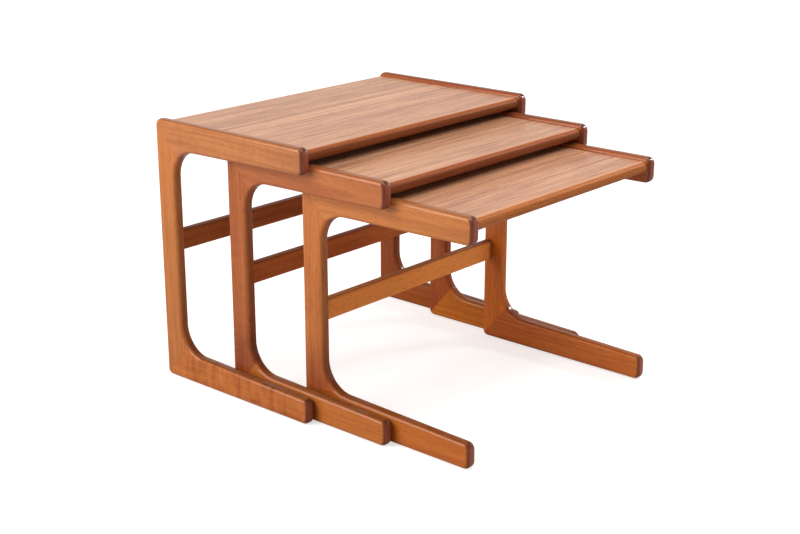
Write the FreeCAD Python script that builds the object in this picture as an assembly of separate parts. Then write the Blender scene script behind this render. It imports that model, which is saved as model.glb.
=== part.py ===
import FreeCAD, Part
import math
import os

# A nest of three teak tables standing stepped out, one under the other.
# Lengths are in millimetres. X runs across the tables, their open fronts face -Y, Z is up
# from the floor, and the origin lies on the floor under the middle of the whole set.

# ---- the set ----------------------------------------------------------------
TABLE_NAMES = ("large", "medium", "small")
WIDTH_LARGE = 605.0
HEIGHT_LARGE = 480.0
DEPTH = 361.0            # front to back of every table
STEP_OUT = 156.5         # how far each table stands ahead of the next bigger one
HEIGHT_STEP = 32.2       # each table is this much lower than the next bigger one
SIDE_GAP = 2.0           # free space between two nested side frames

# ---- side frames ------------------------------------------------------------
STOCK = 20.0             # thickness of the frame timber, across the table
UPRIGHT_DEPTH = 44.5
ARM_DEPTH_REAR = 51.5    # the arm's underside tapers from here ...
ARM_DEPTH_FRONT = 46.0   # ... to here
FOOT_HEIGHT_REAR = 53.5
FOOT_HEIGHT_FRONT = 44.5
REAR_TOP_RADIUS = 12.0
REAR_BOTTOM_RADIUS = 11.0
FRONT_END_RADIUS = 12.5
INNER_TOP_RADIUS = 50.0
INNER_BOTTOM_RADIUS = 52.0
FRAME_EDGE_RADIUS = 7.0

# ---- table tops -------------------------------------------------------------
TOP_DROP = 7.0           # the arms stand this much proud of the top
TOP_THICKNESS = 20.0
VENEER = 0.6
FRONT_SET_BACK = 5.0     # from the arm's front end to the tip of the rounded lipping
REAR_SET_IN = 5.0
FRONT_LIPPING = 14.0
REAR_LIPPING = 8.0
REAR_LIPPING_RADIUS = 3.0

# ---- rear rails -------------------------------------------------------------
RAIL_TOP_LARGE = 272.5   # height of the rail's upper edge above the floor
RAIL_STEP = 36.5         # each rail is this much lower than the one behind it
RAIL_HEIGHT = 37.5
RAIL_THICKNESS = 18.0
RAIL_SET_IN = 4.0        # from the upright's rear face to the rail's rear face
RAIL_EDGE_RADIUS = 4.0
RAIL_END_RADIUS = 5.0    # the rail's ends are eased, so each joint shows a groove

# ---- dowels -----------------------------------------------------------------
DOWEL_RADIUS = 4.0
DOWEL_CHAMFER = 0.8
BORE_EXTRA = 1.0         # room for glue past each end of a dowel
MITRE_DOWEL_HALF = 11.0
MITRE_DOWEL_PLACES = (0.42, 0.80)     # share of the way from the outer to the inner corner
DOWEL_IN_FRAME = 12.0
DOWEL_IN_RAIL = 18.0
RAIL_DOWEL_DROPS = (11.5, 27.5)       # below the rail's upper edge
TOP_DOWEL_PLACES = (60.0, 180.0, 300.0)   # ahead of the table's rear face

DOWN = FreeCAD.Vector(0, 0, -1)
ACROSS = FreeCAD.Vector(1, 0, 0)


class Table:
    """Sizes and places of one table of the nest; index 0 is the large one."""

    def __init__(self, index):
        self.name = TABLE_NAMES[index]
        self.half_width = WIDTH_LARGE / 2 - index * (STOCK + SIDE_GAP)
        self.height = HEIGHT_LARGE - index * HEIGHT_STEP
        self.rear = STEP_OUT + DEPTH / 2 - index * STEP_OUT
        self.rail_top = RAIL_TOP_LARGE - index * RAIL_STEP
        self.inner = self.half_width - STOCK
        self.top_surface = self.height - TOP_DROP

    def point(self, x, ahead, z):
        """A point given as x, distance ahead of the rear face, and height."""
        return FreeCAD.Vector(x, self.rear - ahead, z)


def rounded_outline(corners):
    """A closed wire through (point, radius) corners, each corner turned by an arc."""
    edges = []
    joints = []
    count = len(corners)
    for index in range(count):
        before = corners[index - 1][0]
        corner, radius = corners[index]
        after = corners[(index + 1) % count][0]
        if radius == 0:
            joints.append((corner, corner))
            continue
        back = (before - corner).normalize()
        onward = (after - corner).normalize()
        half_angle = back.getAngle(onward) / 2
        reach = radius / math.tan(half_angle)
        start = corner + back * reach
        end = corner + onward * reach
        bisector = (back + onward).normalize()
        middle = corner + bisector * (radius / math.sin(half_angle) - radius)
        edges.append(Part.Arc(start, middle, end).toShape())
        joints.append((start, end))
    for index in range(count):
        start = joints[index - 1][1]
        end = joints[index][0]
        if start.distanceToPoint(end) > 1e-6:
            edges.append(Part.LineSegment(start, end).toShape())
    return Part.Wire(Part.__sortEdges__(edges))


def prism(outline, length):
    """Sweep a closed outline along +X."""
    return Part.Face(outline).extrude(ACROSS * length)


def edges_in_plane(shape, x):
    """The edges that lie wholly in the plane at this x."""
    found = []
    for edge in shape.Edges:
        box = edge.BoundBox
        if abs(box.XMin - x) < 1e-4 and abs(box.XMax - x) < 1e-4:
            found.append(edge)
    return found


def dowel(centre, direction, half_length):
    """A chamfered wooden pin centred on a point."""
    start = centre - direction * half_length
    pin = Part.makeCylinder(DOWEL_RADIUS, 2 * half_length, start, direction)
    rims = [edge for edge in pin.Edges if isinstance(edge.Curve, Part.Circle)]
    return pin.makeChamfer(DOWEL_CHAMFER, rims)


def bore(centre, direction, half_length):
    """The hole a dowel sits in, a little deeper than the dowel at both ends."""
    reach = half_length + BORE_EXTRA
    return Part.makeCylinder(DOWEL_RADIUS, 2 * reach, centre - direction * reach, direction)


def frame_profile(table, x):
    """The side frame seen from the side: an upright with an arm and a foot, open in front."""
    top = table.height
    arm_under_rear = top - ARM_DEPTH_REAR
    arm_under_front = top - ARM_DEPTH_FRONT
    corners = (
        (table.point(x, 0, 0), REAR_BOTTOM_RADIUS),
        (table.point(x, 0, top), REAR_TOP_RADIUS),
        (table.point(x, DEPTH, top), FRONT_END_RADIUS),
        (table.point(x, DEPTH, arm_under_front), FRONT_END_RADIUS),
        (table.point(x, UPRIGHT_DEPTH, arm_under_rear), INNER_TOP_RADIUS),
        (table.point(x, UPRIGHT_DEPTH, FOOT_HEIGHT_REAR), INNER_BOTTOM_RADIUS),
        (table.point(x, DEPTH, FOOT_HEIGHT_FRONT), FRONT_END_RADIUS),
        (table.point(x, DEPTH, 0), FRONT_END_RADIUS),
    )
    return rounded_outline(corners)


def mitre_wedge(table, x):
    """A wedge whose two sloping faces are the mitre planes of the two rear corners."""
    arm_slope = ARM_DEPTH_REAR / UPRIGHT_DEPTH
    foot_slope = FOOT_HEIGHT_REAR / UPRIGHT_DEPTH
    apex_ahead = table.height / (arm_slope + foot_slope)
    behind = 20.0
    corners = (
        (table.point(x, -behind, -behind * foot_slope), 0),
        (table.point(x, -behind, table.height + behind * arm_slope), 0),
        (table.point(x, apex_ahead, apex_ahead * foot_slope), 0),
    )
    return prism(rounded_outline(corners), STOCK)


def mitre_dowel_seats(table, x_middle):
    """Centre and direction of the dowels that cross the two mitres of one side frame."""
    seats = []
    for level, slope in ((0.0, FOOT_HEIGHT_REAR), (table.height, -ARM_DEPTH_REAR)):
        outer = table.point(x_middle, 0, level)
        inner = table.point(x_middle, UPRIGHT_DEPTH, level + slope)
        along = inner - outer
        across = ACROSS.cross(along).normalize()
        for share in MITRE_DOWEL_PLACES:
            seats.append((outer + along * share, across, MITRE_DOWEL_HALF))
    return seats


def end_dowel_seats(table, side, places):
    """Dowels lying across the table, partly in a frame and partly in what it carries."""
    seats = []
    half_length = (DOWEL_IN_FRAME + DOWEL_IN_RAIL) / 2
    x = side * (table.inner + DOWEL_IN_FRAME - half_length)
    for ahead, z in places:
        seats.append((table.point(x, ahead, z), ACROSS, half_length))
    return seats


def rail_dowel_places(table):
    ahead = RAIL_SET_IN + RAIL_THICKNESS / 2
    return [(ahead, table.rail_top - drop) for drop in RAIL_DOWEL_DROPS]


def top_dowel_places(table):
    z = table.top_surface - TOP_THICKNESS / 2
    return [(ahead, z) for ahead in TOP_DOWEL_PLACES]


def drill(shape, seats):
    for centre, direction, half_length in seats:
        shape = shape.cut(bore(centre, direction, half_length))
    return shape


def side_frame(table, side, seats):
    """The upright, the arm and the foot of one side, mitred together at the rear."""
    x = -table.half_width if side < 0 else table.inner
    blank = prism(frame_profile(table, x), STOCK)
    rims = edges_in_plane(blank, x) + edges_in_plane(blank, x + STOCK)
    blank = blank.makeFillet(FRAME_EDGE_RADIUS, rims)
    blank = drill(blank, seats)
    wedge = mitre_wedge(table, x)
    upright = blank.common(wedge)
    arm_and_foot = blank.cut(wedge).Solids
    arm_and_foot.sort(key=lambda solid: solid.CenterOfMass.z)
    return {"upright": upright, "foot": arm_and_foot[0], "arm": arm_and_foot[1]}


def box_between(table, ahead_from, ahead_to, z_from, z_to):
    """A box from frame to frame."""
    corner = table.point(-table.inner, ahead_to, z_from)
    return Part.makeBox(2 * table.inner, ahead_to - ahead_from, z_to - z_from, corner)


def table_top(table, seats):
    """Core board, veneers above and below it, and the solid lippings front and rear."""
    surface = table.top_surface
    underside = surface - TOP_THICKNESS
    nose = DEPTH - FRONT_SET_BACK
    core_front = nose - FRONT_LIPPING
    core_rear = REAR_SET_IN + REAR_LIPPING
    core = box_between(table, core_rear, core_front, underside + VENEER, surface - VENEER)
    x = -table.inner
    front = rounded_outline((
        (table.point(x, core_front, underside), 0),
        (table.point(x, core_front, surface), 0),
        (table.point(x, nose, surface), TOP_THICKNESS / 2 - 0.5),
        (table.point(x, nose, underside), TOP_THICKNESS / 2 - 0.5),
    ))
    rear = rounded_outline((
        (table.point(x, core_rear, underside), 0),
        (table.point(x, core_rear, surface), 0),
        (table.point(x, REAR_SET_IN, surface), REAR_LIPPING_RADIUS),
        (table.point(x, REAR_SET_IN, underside), REAR_LIPPING_RADIUS),
    ))
    return {
        "top_core": drill(core, seats),
        "top_veneer": box_between(table, core_rear, core_front, surface - VENEER, surface),
        "under_veneer": box_between(table, core_rear, core_front, underside, underside + VENEER),
        "front_lipping": prism(front, 2 * table.inner),
        "rear_lipping": prism(rear, 2 * table.inner),
    }


def rear_rail(table, seats):
    """The rail between the uprights, its long edges rounded and its ends eased."""
    front = RAIL_SET_IN + RAIL_THICKNESS
    under = table.rail_top - RAIL_HEIGHT
    x = -table.inner
    outline = rounded_outline((
        (table.point(x, RAIL_SET_IN, under), RAIL_EDGE_RADIUS),
        (table.point(x, RAIL_SET_IN, table.rail_top), RAIL_EDGE_RADIUS),
        (table.point(x, front, table.rail_top), RAIL_EDGE_RADIUS),
        (table.point(x, front, under), RAIL_EDGE_RADIUS),
    ))
    rail = prism(outline, 2 * table.inner)
    rims = edges_in_plane(rail, -table.inner) + edges_in_plane(rail, table.inner)
    return drill(rail.makeFillet(RAIL_END_RADIUS, rims), seats)


def build_table(index):
    """Every piece of one table, by name."""
    table = Table(index)
    pieces = {}
    mitre_seats = []
    rail_seats = []
    top_seats = []
    for side, side_name in ((-1, "left"), (1, "right")):
        in_mitres = mitre_dowel_seats(table, side * (table.half_width - STOCK / 2))
        in_rail = end_dowel_seats(table, side, rail_dowel_places(table))
        in_top = end_dowel_seats(table, side, top_dowel_places(table))
        members = side_frame(table, side, in_mitres + in_rail + in_top)
        for member, shape in members.items():
            pieces[side_name + "_" + member] = shape
        mitre_seats += in_mitres
        rail_seats += in_rail
        top_seats += in_top
    pieces["rear_rail"] = rear_rail(table, rail_seats)
    pieces.update(table_top(table, top_seats))
    pieces["mitre_dowels"] = Part.makeCompound([dowel(*seat) for seat in mitre_seats])
    pieces["rail_dowels"] = Part.makeCompound([dowel(*seat) for seat in rail_seats])
    pieces["top_dowels"] = Part.makeCompound([dowel(*seat) for seat in top_seats])
    return {table.name + "_" + name: shape for name, shape in pieces.items()}


def single_solid(shape):
    """The one solid inside a result, or the result itself when it is a group."""
    return shape.Solids[0] if len(shape.Solids) == 1 else shape


os.makedirs("parts", exist_ok=True)
for table_index in range(len(TABLE_NAMES)):
    for piece_name, piece in build_table(table_index).items():
        single_solid(piece).exportStep("parts/" + piece_name + ".step")
        print(piece_name, len(piece.Solids), piece.isValid(), round(piece.Volume))
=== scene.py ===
"""Looks of the nest of three teak tables: materials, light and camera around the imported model."""
import math
import random

import bpy
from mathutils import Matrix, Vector


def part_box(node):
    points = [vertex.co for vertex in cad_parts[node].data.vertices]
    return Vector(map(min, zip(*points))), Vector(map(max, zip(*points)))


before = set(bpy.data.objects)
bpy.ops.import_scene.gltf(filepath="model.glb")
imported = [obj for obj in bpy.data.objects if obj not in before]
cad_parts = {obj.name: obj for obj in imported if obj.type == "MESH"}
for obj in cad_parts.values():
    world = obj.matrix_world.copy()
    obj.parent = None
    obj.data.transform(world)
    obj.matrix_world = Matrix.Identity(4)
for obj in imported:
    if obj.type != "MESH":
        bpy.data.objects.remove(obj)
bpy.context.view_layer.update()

TABLES = ("large", "medium", "small")

# ---- camera ---------------------------------------------------------------------
CAMERA_PLACE = Vector((-1.8787, -1.6090, 1.0117))
CAMERA_TURN = math.radians(-48.87)       # about Z, from looking along +Y
CAMERA_TILT = math.radians(-18.08)       # below the horizon
CAMERA_LENS = 64.71                      # millimetres
SENSOR_WIDTH = 36.0                      # millimetres

# ---- sizes of the joinery, metres -------------------------------------------------
UPRIGHT_DEPTH = 0.0445
ARM_DEPTH = 0.0515
FOOT_HEIGHT = 0.0535
TOP_DROP = 0.007                         # the arms stand this much proud of the top
GLUE_LINE = 0.0008                       # how far a glue line darkens to either side
LEAF_LINE = 0.0040                       # how far the polish darkens beside a veneer joint
DUST_AND_SHADE_LINE = 0.0022                       # how far painted shade, with some wax and dust, reaches out of a corner
RAIL_SHADE_LINE = 0.018                   # how far painted shade reaches out of the corners at the rail's ends
RIM_REACH = (0.012, 0.020)               # behind a stick's end the rim's painted shade fades out here

# ---- growth rings -----------------------------------------------------------------
RING_DARKENS = (0.15, 0.86)              # between these shares of its width
RING_ENDS = (0.90, 1.0)
FAINTEST_YEAR = 0.15                     # against 1 for the strongest

# ---- figure: waves a metre along the grain and across it, detail, roughness -------
BENDS = (2.6, 9.0, 2.5, 0.5)             # of the heart line
STREAKS = (3.2, 130.0, 3.0, 0.6)
FIBRES = (11.0, 420.0, 3.0, 0.7)
CLOUDS = (3.4, 24.0, 3.0, 0.5)
RIPPLES = (75.0, 18.0, 2.0, 0.5)
PORES = (60.0, 1500.0, 1.0, 0.5)
PORE_RAMP = (0.58, 0.70)                 # only the peaks of that layer are pores

# ---- how far the heart line lies from a piece's middle, metres --------------------
STICK_HEART = ((0.04, 0.09), (-0.03, 0.03))      # ranges, because each stick has its own
RAIL_HEART = (0.09, 0.01)
LIPPING_HEART = (0.06, 0.05)
VENEER_HEART = (0.9, 0.05)
PLAIN_HEART = (0.08, 0.0)

# ---- how strong the marks are, as shares of their colour --------------------------
PLAIN_DARK = 0.22                        # dark wood in timber without rings or streaks
PORE_TONE = 0.3                          # of the dark wood's colour
GLUE_SHARE = 0.22
# the next share darkens corners: painted shade, with some dust
DUST_AND_SHADE_SHARE = 0.8
END_GRAIN_SHARE = 0.8
RIM_SHADE_SHARE = 0.58
LEVEL_SHEEN_SHARE = 0.6
FRAME_TOP_SHADE = (0.45, 0.95, 0.0, 0.45)   # painted shade on the frames' upward faces, in the form of Cut.facing_shade
# painted shade on the rails' upward faces, under the tops
RAIL_TOP_SHADE = (0.45, 0.95, 0.0, 0.6)

# ---- how far a face turns to the grain's end, or upwards, for a mark to begin and be full ----
END_GRAIN_TURN = (0.30, 0.90)
# on the arms the end colour reaches further round the rounded ends: partly end grain, partly painted shade
ARM_END_GRAIN_AND_SHADE_TURN = (0.10, 0.55)
RIM_BEGINS = (0.20, 0.50)
RIM_ENDS = (0.75, 0.99)
LEVEL_SHEEN_TURN = (0.94, 0.995)
NOSE_TURN = (0.30, 0.80)                 # the painted shade under a nose fades out here

# ---- surface ----------------------------------------------------------------------
RELIEF_STRENGTH = 0.25
RELIEF_DEPTH = 0.00012                   # metres
FIBRE_RELIEF = 0.6                       # of a pore's depth
FIBRE_ROUGHNESS = 0.08                   # more and less
PORE_ROUGHNESS = 0.15
COAT_ROUGHNESS = 0.09

# ---- where cuts lie in the endless timber -----------------------------------------
SEEDS = (1, 90)                          # a cut's number is drawn from this range
SEED_STEP = 0.731                        # metres along the grain for each 1 of that number
LEAF_STEP_ALONG = 1.7                    # metres from one veneer leaf to the next
LEAF_STEP_DEEP = 0.05                    # and across the grain
FIRST_TABLE_SEED = 100                   # each table has random draws of its own

# ---- timber colours, and the colours of painted shade and sheen, linear RGB -------
TEAK_LIGHT = (0.54, 0.158, 0.027)
TEAK_DARK = (0.24, 0.045, 0.007)
LIPPING_LIGHT = (0.40, 0.104, 0.018)
LIPPING_DARK = (0.19, 0.038, 0.006)
# the veneer's pale pink is partly painted sheen
VENEER_LIGHT = (0.56, 0.272, 0.138)
VENEER_DARK = (0.22, 0.070, 0.023)
CORE_LIGHT = (0.52, 0.36, 0.20)
CORE_DARK = (0.33, 0.21, 0.11)
BEECH_LIGHT = (0.62, 0.40, 0.22)
BEECH_DARK = (0.48, 0.28, 0.14)
# dark of glue lines and veneer joints, and of the painted shade in corners
JOINT_AND_SHADE_COLOUR = (0.10, 0.022, 0.006)
# painted shade: on up-facing edges under the tops, and on the lower side of the noses
PAINTED_SHADE = (0.030, 0.008, 0.004)
END_GRAIN = (0.28, 0.057, 0.032)
# painted sheen: the pale, pinkish look of a level polished face
LEVEL_SHEEN = (0.60, 0.36, 0.24)
# painted shade on the rounded rim of an end, which turns away from the light
RIM_SHADE = (0.080, 0.014, 0.005)

# ---- floor and surroundings -------------------------------------------------------
FLOOR_REACH = 30.0                       # metres
FLOOR_DROP = 0.0005                      # metres under the feet
FLOOR_COLOUR = (0.58, 0.56, 0.54, 1)
FLOOR_GLOW = (0.8, 3.5, 0.64, 0.90)      # near and far in metres, and the glow at each
WHITE = (1, 1, 1, 1)
BACKDROP = 1.1                           # strength of the white behind the tables
AMBIENT = 0.37                           # strength of the room's light from every side
BEHIND_LIGHT = 0.60                      # and of what comes on top from behind the tables
BEHIND = (0.75, 0.66)                    # x and y of that direction
BEHIND_RAMP = (-0.2, 0.6)
LOW_RAMP = (0.30, 0.65)                  # how high a direction looks before that light ends

# Square lamps: place and target in metres, side in metres, power in watts.
LAMPS = {
    "left_softbox": ((-2.3, 1.1, 1.55), (0, 0, 0.3), 1.9, 74),
    "top_softbox": ((0.2, -0.1, 2.6), (0, 0, 0.3), 1.0, 24),
    "right_softbox": ((2.0, -0.9, 1.6), (0, -0.1, 0.3), 0.35, 13),
    "front_lamp": ((0.05, -1.2, 2.5), (0, -0.1, 0.3), 0.32, 12),
}

# Every stick's tint, and how much more dark wood it has: partly its own tone, as cut from another part of
# the tree, and partly painted light, sheen and shade.
STICKS = {
    "large_left_arm": ((0.94, 1.18, 2.20), 0.0),
    "large_left_upright": ((0.88, 1.00, 1.40), -0.02),
    "large_left_foot": ((0.95, 0.97, 1.16), 0.05),
    "large_right_arm": ((0.80, 0.76, 1.30), 0.20),
    "large_right_upright": ((0.66, 0.52, 0.46), 0.25),
    "large_right_foot": ((0.85, 0.76, 0.68), 0.15),
    "large_rear_rail": ((1.18, 1.36, 2.40), 0.20),
    "medium_left_arm": ((1.00, 1.12, 2.00), 0.10),
    "medium_left_upright": ((0.80, 0.78, 1.08), 0.12),
    "medium_left_foot": ((1.00, 1.04, 1.10), 0.02),
    "medium_right_arm": ((0.80, 0.76, 1.30), 0.20),
    "medium_right_upright": ((1.02, 0.88, 1.05), 0.25),
    "medium_right_foot": ((1.28, 1.27, 0.85), 0.05),
    "medium_rear_rail": ((1.28, 1.34, 2.10), 0.15),
    "small_left_arm": ((1.00, 1.18, 1.80), -0.06),
    "small_left_upright": ((1.04, 1.15, 1.50), 0.05),
    "small_left_foot": ((1.0, 0.96, 0.88), 0.03),
    "small_right_arm": ((0.88, 0.84, 1.30), 0.10),
    "small_right_upright": ((1.48, 1.38, 1.15), 0.06),
    "small_right_foot": ((1.42, 1.36, 1.60), 0.08),
    "small_rear_rail": ((1.85, 2.14, 3.00), -0.30),
}

# How strong the figure across the grain is.
RIPPLED = {"large_left_foot": 0.8, "large_left_arm": 0.15, "medium_left_upright": 0.2}

# Painted shade towards one end of a stick, and painted light at the other: (axis, low, high, darker at
# low, darker at high).
SHADED_TOWARDS_END = {
    "large_left_upright": ("Z", 0.10, 0.42, 0.06, -0.28),
    "medium_left_upright": ("Z", 0.07, 0.19, 0.45, 0.0),
    "medium_left_foot": ("Y", 0.09, 0.16, 0.0, 0.25),
    "small_left_upright": ("Z", 0.06, 0.17, 0.52, 0.0),
    "small_left_foot": ("Y", -0.10, 0.0, 0.0, 0.40),
    "small_right_foot": ("Y", -0.15, 0.0, 0.0, 0.22),
}


class Graph:
    """A node tree, with short calls for adding and joining nodes."""

    def __init__(self, tree):
        self.tree = tree
        self.tree.nodes.clear()

    def add(self, kind, inputs, **settings):
        """Add a node; an input is a number, a colour or another node's output."""
        node = self.tree.nodes.new(kind)
        for key, value in settings.items():
            setattr(node, key, value)
        for key, value in inputs.items():
            if isinstance(value, bpy.types.NodeSocket):
                self.tree.links.new(value, node.inputs[key])
            else:
                node.inputs[key].default_value = value
        return node

    def math(self, operation, first, second=0.0, third=0.0):
        inputs = {0: first, 1: second}
        if operation == "MULTIPLY_ADD":
            inputs[2] = third
        return self.add("ShaderNodeMath", inputs, operation=operation).outputs[0]

    def vector(self, x, y, z):
        return self.add("ShaderNodeCombineXYZ", {0: x, 1: y, 2: z}).outputs[0]

    def layer(self, figure, along, side_a, side_b):
        """Noise that is drawn out along the grain, as one line of the figure list says."""
        lengthwise, crosswise, detail, roughness = figure
        where = self.vector(self.math("MULTIPLY", along, lengthwise),
                            self.math("MULTIPLY", side_a, crosswise),
                            self.math("MULTIPLY", side_b, crosswise))
        inputs = {"Vector": where, "Scale": 1.0, "Detail": detail, "Roughness": roughness}
        return self.add("ShaderNodeTexNoise", inputs).outputs

    def around_half(self, pattern, reach, level):
        """Add a pattern of 0 to 1 to a level, as much below it as above it."""
        return self.math("MULTIPLY_ADD", self.math("SUBTRACT", pattern, 0.5), 2 * reach, level)

    def between(self, value, low, high, to_low=0.0, to_high=1.0, steps="SMOOTHSTEP"):
        """A ramp from to_low, where the value is low, to to_high, where it is high."""
        inputs = {"Value": value, "From Min": low, "From Max": high, "To Min": to_low, "To Max": to_high}
        return self.add("ShaderNodeMapRange", inputs, interpolation_type=steps).outputs["Result"]

    def mix(self, share, first, second):
        """Lay a share of the second colour over the first."""
        node = self.add("ShaderNodeMix", {}, data_type="RGBA")
        for index, value in ((0, share), (6, first), (7, second)):
            if isinstance(value, bpy.types.NodeSocket):
                self.tree.links.new(value, node.inputs[index])
            elif index == 0:
                node.inputs[index].default_value = value
            else:
                node.inputs[index].default_value = (*value, 1.0)
        return node.outputs[2]


class Timber:
    """How one kind of timber looks; lengths in metres."""

    def __init__(self, light, dark, ring=0.0048, ring_contrast=0.25, wander=0.007, cloud=0.36,
                 streak=0.25, fibre=0.32, pores=0.40, specular=0.06, roughness=0.40, coat=0.40,
                 end_coat=0.3):
        self.light = light
        self.dark = dark
        self.ring = ring
        self.ring_contrast = ring_contrast
        self.wander = wander
        self.cloud = cloud
        self.streak = streak
        self.fibre = fibre
        self.pores = pores
        self.specular = specular
        self.roughness = roughness
        self.coat = coat
        self.end_coat = end_coat     # end grain drinks more oil, and shines more


class Cut:
    """How one piece was cut from its timber, the joint lines it shows, and the painted shade and sheen
    laid on it.
    """

    def __init__(self, grain, seed, heart=PLAIN_HEART, tint=(1, 1, 1), darker=0.0):
        self.grain = grain
        self.seed = seed
        self.heart = heart
        self.tint = tint
        self.darker = darker
        self.ripple = 0.0        # strength of the figure that lies across the grain
        self.shaded_end = None         # painted shade towards one end, as in SHADED_TOWARDS_END
        self.end_grain = END_GRAIN_TURN
        self.front = None        # where the stick ends, with painted shade round the rounded rim of the end
        self.facing_shade = None       # (low, high, share at low, share at high) of painted shade, by how far up a face looks
                                 # by how far up a face looks
        self.level_sheen = 0.0          # share of painted sheen, pale, laid where the face is level
        self.leaves = ()         # (place across the grain, lighter or darker) of each veneer leaf
        self.seam = 0.0          # how dark the joints between the leaves show
        self.mitres = ()         # (point y, point z, slope y, slope z) of each glue line's plane
        self.corner_x = None     # painted shade, with some dust, gathers where |x| comes near this
        self.dust_and_shade_reach = DUST_AND_SHADE_LINE    # and reaches this far
        self.corner_z = None     # and only where z comes near this too


def around_heart(g, timber, cut, along, side_a, side_b):
    """How far a point lies from the heart line, which wanders along its length, on two axes."""
    bent = g.layer(BENDS, along, side_a, side_b)
    bends = g.add("ShaderNodeSeparateColor", {0: bent["Color"]}).outputs
    return [g.around_half(bends[index], timber.wander, g.math("ADD", side, cut.heart[index]))
            for index, side in enumerate((side_a, side_b))]


def late_wood(g, timber, ring_a, ring_b):
    """How dark the growth ring is that a point lies in."""
    radius = g.math("SQRT", g.math("ADD", g.math("MULTIPLY", ring_a, ring_a),
                                   g.math("MULTIPLY", ring_b, ring_b)))
    phase = g.math("DIVIDE", radius, timber.ring)
    rise = g.math("FRACT", phase)
    late = g.math("MULTIPLY", g.between(rise, *RING_DARKENS), g.between(rise, *RING_ENDS, 1.0, 0.0))
    year = g.add("ShaderNodeTexWhiteNoise", {"W": g.math("FLOOR", phase)}, noise_dimensions="1D")
    strength = g.between(year.outputs["Value"], 0.0, 1.0, FAINTEST_YEAR, 1.0, "LINEAR")
    return g.math("MULTIPLY", late, strength)


def growth(g, timber, cut, along, side_a, side_b, extra_dark):
    """The share of dark wood at a point, the fibre and the pores."""
    rings = around_heart(g, timber, cut, along, side_a, side_b)
    fibre = g.layer(FIBRES, along, *rings)["Fac"]
    pores = g.between(g.layer(PORES, along, *rings)["Fac"], *PORE_RAMP)
    patterns = [(g.layer(STREAKS, along, *rings)["Fac"], timber.streak),
                (fibre, timber.fibre),
                (g.layer(CLOUDS, along, *rings)["Fac"], timber.cloud)]
    if cut.ripple:
        patterns.append((g.layer(RIPPLES, along, *rings)["Fac"], cut.ripple))
    depth = g.math("MULTIPLY_ADD", late_wood(g, timber, *rings), timber.ring_contrast,
                   PLAIN_DARK + cut.darker)
    for pattern, reach in patterns:
        depth = g.around_half(pattern, reach, depth)
    if extra_dark is not None:
        depth = g.math("ADD", depth, extra_dark)
    return g.between(depth, 0.0, 1.0, steps="LINEAR"), fibre, pores


def leaf_of(g, cut, across):
    """Which veneer leaf a point lies on: its tone, a number of its own, and its joint lines."""
    tone = cut.leaves[0][1]
    number = 0.0
    line = 0.0
    for place, difference in cut.leaves[1:]:
        past = g.math("GREATER_THAN", across, place)
        tone = g.math("MULTIPLY_ADD", past, difference, tone)
        number = g.math("ADD", number, past)
        near = g.math("ABSOLUTE", g.math("SUBTRACT", across, place))
        line = g.math("MAXIMUM", line, g.between(near, 0.0, LEAF_LINE, cut.seam, 0.0))
    return tone, number, line


def joint_lines_and_corner_shade(g, cut, parts):
    """Glue lines on the mitres, and painted shade with some dust in the corners where pieces meet."""
    line = 0.0
    for point_y, point_z, slope_y, slope_z in cut.mitres:
        length = math.hypot(slope_y, slope_z)
        offset = g.math("MULTIPLY", g.math("SUBTRACT", parts["Y"], point_y), slope_z / length)
        offset = g.math("MULTIPLY_ADD", g.math("SUBTRACT", parts["Z"], point_z), -slope_y / length, offset)
        mark = g.between(g.math("ABSOLUTE", offset), 0.0, GLUE_LINE, GLUE_SHARE, 0.0)
        line = g.math("MAXIMUM", line, mark)
    if cut.corner_x is not None:
        away = g.math("SUBTRACT", cut.corner_x, g.math("ABSOLUTE", parts["X"]))
        away = g.math("ABSOLUTE", away)
        if cut.corner_z is not None:
            above = g.math("ABSOLUTE", g.math("SUBTRACT", parts["Z"], cut.corner_z))
            away = g.math("MAXIMUM", above, away)
        line = g.math("MAXIMUM", line, g.between(away, 0.0, cut.dust_and_shade_reach, DUST_AND_SHADE_SHARE, 0.0))
    return line


def marks(g, cut, parts, facing, turned, end, line, colour):
    """Lay end grain, painted shade, painted sheen and the joint lines with painted corner shade over the
    timber's colour.
    """
    colour = g.mix(g.math("MULTIPLY", end, END_GRAIN_SHARE), colour, END_GRAIN)
    # painted shade round the rim of an end
    if cut.front is not None:
        rim = g.math("MULTIPLY", g.between(turned, *RIM_BEGINS),
                     g.between(turned, *RIM_ENDS, RIM_SHADE_SHARE, 0.0))
        near = g.between(parts["Y"], *(cut.front + reach for reach in RIM_REACH), 1.0, 0.0)
        colour = g.mix(g.math("MULTIPLY", rim, near), colour, RIM_SHADE)
    # painted shade by how far up a face looks
    if cut.facing_shade:
        colour = g.mix(g.between(facing["Z"], *cut.facing_shade), colour, PAINTED_SHADE)
    # painted sheen on the level faces
    if cut.level_sheen:
        colour = g.mix(g.between(facing["Z"], *LEVEL_SHEEN_TURN, 0.0, cut.level_sheen), colour, LEVEL_SHEEN)
    # glue lines, veneer joints and painted corner shade
    return g.mix(line, colour, JOINT_AND_SHADE_COLOUR)


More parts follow.
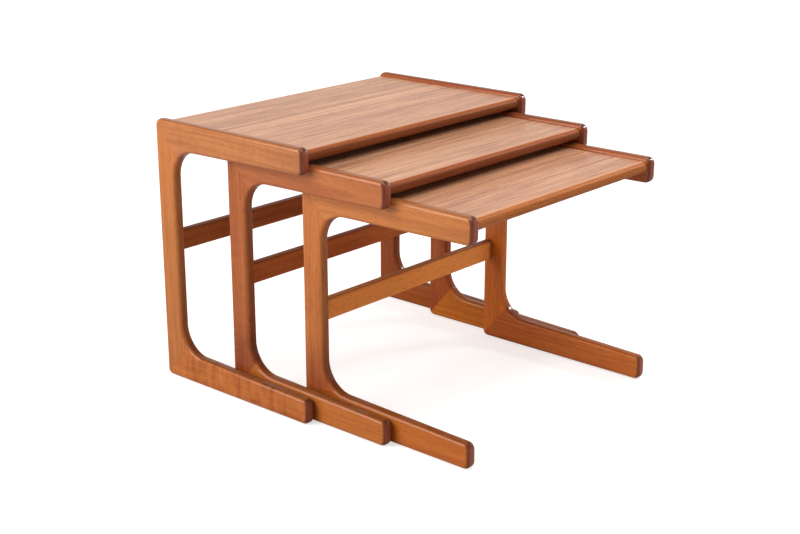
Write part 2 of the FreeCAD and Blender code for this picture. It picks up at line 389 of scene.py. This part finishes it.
def wood(name, timber, cut, centre):
    """A solid timber: growth rings round a far-off heart line that runs along the grain."""
    material = bpy.data.materials.new(name)
    material.use_nodes = True
    g = Graph(material.node_tree)
    place = g.add("ShaderNodeTexCoord", {})
    axes = {"X": "XYZ", "Y": "YXZ", "Z": "ZXY"}[cut.grain]
    parts = g.add("ShaderNodeSeparateXYZ", {0: place.outputs["Object"]}).outputs
    along = g.math("ADD", parts[axes[0]], cut.seed * SEED_STEP)
    side_a = g.math("SUBTRACT", parts[axes[1]], centre["XYZ".index(axes[1])])
    side_b = g.math("SUBTRACT", parts[axes[2]], centre["XYZ".index(axes[2])])
    line = joint_lines_and_corner_shade(g, cut, parts)
    extra_dark = None
    # painted shade or light along the stick
    if cut.shaded_end:
        axis, *ramp = cut.shaded_end
        extra_dark = g.between(parts[axis], *ramp)
    if cut.leaves:
        extra_dark, number, seams = leaf_of(g, cut, side_a)
        along = g.math("MULTIPLY_ADD", number, LEAF_STEP_ALONG, along)
        side_b = g.math("MULTIPLY_ADD", number, LEAF_STEP_DEEP, side_b)
        line = g.math("MAXIMUM", line, seams)
    depth, fibre, pores = growth(g, timber, cut, along, side_a, side_b, extra_dark)

    light = tuple(c * k for c, k in zip(timber.light, cut.tint))
    dark = tuple(c * k for c, k in zip(timber.dark, cut.tint))
    colour = g.mix(depth, light, dark)
    colour = g.mix(g.math("MULTIPLY", pores, timber.pores), colour,
                   tuple(c * PORE_TONE for c in dark))
    facing = g.add("ShaderNodeSeparateXYZ", {0: place.outputs["Normal"]}).outputs
    turned = g.math("ABSOLUTE", facing[axes[0]])
    end = g.between(turned, *cut.end_grain)
    colour = marks(g, cut, parts, facing, turned, end, line, colour)

    relief = g.math("MULTIPLY_ADD", pores, -1.0, g.math("MULTIPLY", fibre, FIBRE_RELIEF))
    bump = g.add("ShaderNodeBump", {"Strength": RELIEF_STRENGTH, "Distance": RELIEF_DEPTH,
                                    "Height": relief})
    rough = g.around_half(fibre, FIBRE_ROUGHNESS, timber.roughness)
    rough = g.math("MULTIPLY_ADD", pores, PORE_ROUGHNESS, rough)
    shader = g.add("ShaderNodeBsdfPrincipled", {
        "Base Color": colour, "Roughness": rough, "Normal": bump.outputs[0],
        "Specular IOR Level": timber.specular, "Coat Roughness": COAT_ROUGHNESS,
        "Coat Weight": g.math("MULTIPLY_ADD", end, timber.end_coat, timber.coat)})
    g.add("ShaderNodeOutputMaterial", {"Surface": shader.outputs[0]})
    return material


TEAK = Timber(TEAK_LIGHT, TEAK_DARK)
RAIL = Timber(TEAK_LIGHT, TEAK_DARK, specular=0.05, coat=0.0)
LIPPING = Timber(LIPPING_LIGHT, LIPPING_DARK, ring_contrast=0.35, cloud=0.3, specular=0.15,
                 roughness=0.45, coat=0.0)
VENEER = Timber(VENEER_LIGHT, VENEER_DARK, ring=0.0060, wander=0.003, ring_contrast=0.45, fibre=0.95,
                streak=0.90, cloud=0.45, specular=0.95, roughness=0.47, coat=0.10)
CORE = Timber(CORE_LIGHT, CORE_DARK, ring_contrast=0.1, cloud=0.2, pores=0.6, roughness=0.8, coat=0.0)
BEECH = Timber(BEECH_LIGHT, BEECH_DARK, ring=0.003, ring_contrast=0.25, roughness=0.6, coat=0.0)

# Veneer leaves of the three tops: where each begins behind or ahead of the middle, and how its
# share of dark wood differs from the leaf before it.
LEAVES = {
    "large": ((-1.0, 0.04), (-0.0085, -0.23), (0.0345, 0.29)),
    "medium": ((-1.0, 0.02), (0.045, -0.06)),
    "small": ((-1.0, 0.02), (-0.050, -0.08), (0.025, 0.10)),
}

# How dark the joints between the leaves show.
SEAMS = {"large": 0.75, "medium": 0.25, "small": 0.35}

# How each top's veneer and lipping are tinted, partly as painted light, and the share of painted shade
# under its nose.
TOPS = {
    "large": ((1.0, 1.0, 1.0), (1.0, 1.0, 1.0), 0.38),
    "medium": ((1.0, 1.0, 1.0), (1.0, 0.94, 1.0), 0.34),
    "small": ((1.09, 1.06, 1.07), (1.42, 1.64, 1.7), 0.0),
}


def dress(node, timber, cut):
    """Give a CAD node its own cut of timber."""
    low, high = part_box(node)
    made = wood(node + "_wood", timber, cut, (low + high) / 2)
    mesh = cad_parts[node].data
    mesh.materials.clear()
    mesh.materials.append(made)


def dress_frames(table, chance):
    """The six sticks of a table's two side frames."""
    for side in ("left", "right"):
        low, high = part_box(f"{table}_{side}_upright")
        inner = min(abs(low.x), abs(high.x))
        # The rounded corner puts the upright's tip 3.8 mm below the arm's top. The arm's glue line and its
        # line of painted shade and dust are measured from the tip, so they are drawn that much below the
        # joints.
        rear, tip = high.y, high.z
        at_arm = (rear, tip, -UPRIGHT_DEPTH, -ARM_DEPTH)
        at_foot = (rear, 0.0, -UPRIGHT_DEPTH, FOOT_HEIGHT)
        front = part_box(f"{table}_{side}_foot")[0].y
        for member, grain, mitres in (("upright", "Z", (at_arm, at_foot)), ("arm", "Y", (at_arm,)),
                                      ("foot", "Y", (at_foot,))):
            name = f"{table}_{side}_{member}"
            tint, darker = STICKS[name]
            heart = [chance.uniform(*limits) for limits in STICK_HEART]
            cut = Cut(grain, chance.uniform(*SEEDS), heart, tint, darker)
            cut.mitres = mitres
            cut.ripple = RIPPLED.get(name, 0.0)
            cut.shaded_end = SHADED_TOWARDS_END.get(name)
            cut.facing_shade = FRAME_TOP_SHADE
            if member != "upright":
                cut.front = front
            if member == "arm":
                cut.end_grain = ARM_END_GRAIN_AND_SHADE_TURN
                cut.corner_x = inner
                cut.corner_z = tip - TOP_DROP
            dress(name, TEAK, cut)


def dress_table(table, number):
    """Every piece of one table, each with its own cut."""
    chance = random.Random(FIRST_TABLE_SEED + number)
    dress_frames(table, chance)
    tint, darker = STICKS[f"{table}_rear_rail"]
    rail = Cut("X", chance.uniform(*SEEDS), RAIL_HEART, tint, darker)
    rail.facing_shade = RAIL_TOP_SHADE
    # painted shade darkens the rail towards its ends, where it meets the uprights
    rail.dust_and_shade_reach = RAIL_SHADE_LINE
    rail.corner_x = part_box(f"{table}_rear_rail")[1].x
    dress(f"{table}_rear_rail", RAIL, rail)
    skin_tint, lipping_tint, nose_shade = TOPS[table]
    for piece in ("front_lipping", "rear_lipping"):
        lipping = Cut("X", chance.uniform(*SEEDS), LIPPING_HEART, lipping_tint)
        lipping.corner_x = rail.corner_x
        # painted shade on the lower side of the nose, over the dark gap below
        lipping.facing_shade = (*NOSE_TURN, nose_shade, 0.0)
        lipping.level_sheen = LEVEL_SHEEN_SHARE
        dress(f"{table}_{piece}", LIPPING, lipping)
    for piece in ("top_veneer", "under_veneer"):
        skin = Cut("X", chance.uniform(*SEEDS), VENEER_HEART, skin_tint)
        skin.leaves = LEAVES[table]
        skin.seam = SEAMS[table]
        skin.corner_x = rail.corner_x
        dress(f"{table}_{piece}", VENEER, skin)
    dress(f"{table}_top_core", CORE, Cut("X", chance.uniform(*SEEDS)))
    for piece in ("mitre_dowels", "rail_dowels", "top_dowels"):
        dress(f"{table}_{piece}", BEECH, Cut("X", chance.uniform(*SEEDS)))


def smooth_shading():
    """Shade the rounded edges smooth and keep the flat faces flat."""
    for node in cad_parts.values():
        for polygon in node.data.polygons:
            polygon.use_smooth = True
        modifier = node.modifiers.new("even_normals", "WEIGHTED_NORMAL")
        modifier.keep_sharp = True


def floor():
    """A sheet of white paper that runs out of sight, and glows a little for the camera only."""
    mesh = bpy.data.meshes.new("floor")
    corners = [(FLOOR_REACH * x, FLOOR_REACH * y, 0) for x, y in ((-1, -1), (1, -1), (1, 1), (-1, 1))]
    mesh.from_pydata(corners, [], [(0, 1, 2, 3)])
    plane = bpy.data.objects.new("floor", mesh)
    bpy.context.scene.collection.objects.link(plane)
    material = bpy.data.materials.new("floor_paper")
    material.use_nodes = True
    g = Graph(material.node_tree)
    place = g.add("ShaderNodeTexCoord", {}).outputs["Object"]
    away = g.add("ShaderNodeVectorMath", {0: place}, operation="LENGTH").outputs["Value"]
    seen = g.add("ShaderNodeLightPath", {}).outputs["Is Camera Ray"]
    glow = g.math("MULTIPLY", g.between(away, *FLOOR_GLOW), seen)
    shader = g.add("ShaderNodeBsdfPrincipled", {
        "Base Color": FLOOR_COLOUR, "Roughness": 0.9, "Specular IOR Level": 0.1,
        "Emission Color": WHITE, "Emission Strength": glow})
    g.add("ShaderNodeOutputMaterial", {"Surface": shader.outputs[0]})
    mesh.materials.append(material)
    plane.location.z = -FLOOR_DROP


def area_light(name, place, target, side, watts):
    """A square white lamp that looks at its target."""
    data = bpy.data.lights.new(name, "AREA")
    data.shape = "SQUARE"
    data.size = side
    data.energy = watts
    light = bpy.data.objects.new(name, data)
    light.location = place
    light.rotation_euler = (Vector(target) - Vector(place)).to_track_quat("-Z", "Y").to_euler()
    bpy.context.scene.collection.objects.link(light)


def lights():
    """A dim studio: a softbox on the left, smaller ones above and right, and a lamp high in front."""
    for name, lamp in LAMPS.items():
        area_light(name, *lamp)


def surroundings():
    """White to the camera; grey to the tables, and brighter low down behind them."""
    world = bpy.data.worlds.new("studio")
    world.use_nodes = True
    g = Graph(world.node_tree)
    direction = g.add("ShaderNodeTexCoord", {}).outputs["Generated"]
    looking = g.add("ShaderNodeSeparateXYZ", {0: direction}).outputs
    behind = g.math("MULTIPLY_ADD", looking["X"], BEHIND[0], g.math("MULTIPLY", looking["Y"], BEHIND[1]))
    low = g.between(looking["Z"], *LOW_RAMP, 1.0, 0.0)
    share = g.math("MULTIPLY", g.between(behind, *BEHIND_RAMP), low)
    strength = g.math("MULTIPLY_ADD", share, BEHIND_LIGHT, AMBIENT)
    around = g.add("ShaderNodeBackground", {"Color": WHITE, "Strength": strength}).outputs[0]
    white = g.add("ShaderNodeBackground", {"Color": WHITE, "Strength": BACKDROP}).outputs[0]
    seen = g.add("ShaderNodeLightPath", {}).outputs["Is Camera Ray"]
    sky = g.add("ShaderNodeMixShader", {0: seen, 1: around, 2: white}).outputs[0]
    g.add("ShaderNodeOutputWorld", {"Surface": sky})
    bpy.context.scene.world = world


def camera():
    """One camera, high on the left in front of the tables."""
    data = bpy.data.cameras.new("camera")
    data.lens = CAMERA_LENS
    data.sensor_width = SENSOR_WIDTH
    holder = bpy.data.objects.new("camera", data)
    holder.location = CAMERA_PLACE
    holder.rotation_euler = (math.pi / 2 + CAMERA_TILT, 0, CAMERA_TURN)
    bpy.context.scene.collection.objects.link(holder)
    bpy.context.scene.camera = holder


camera()
floor()
lights()
surroundings()
smooth_shading()
for number, table in enumerate(TABLES):
    dress_table(table, number)
bpy.context.scene.view_settings.view_transform = "Standard"
bpy.context.scene.view_settings.look = "None"
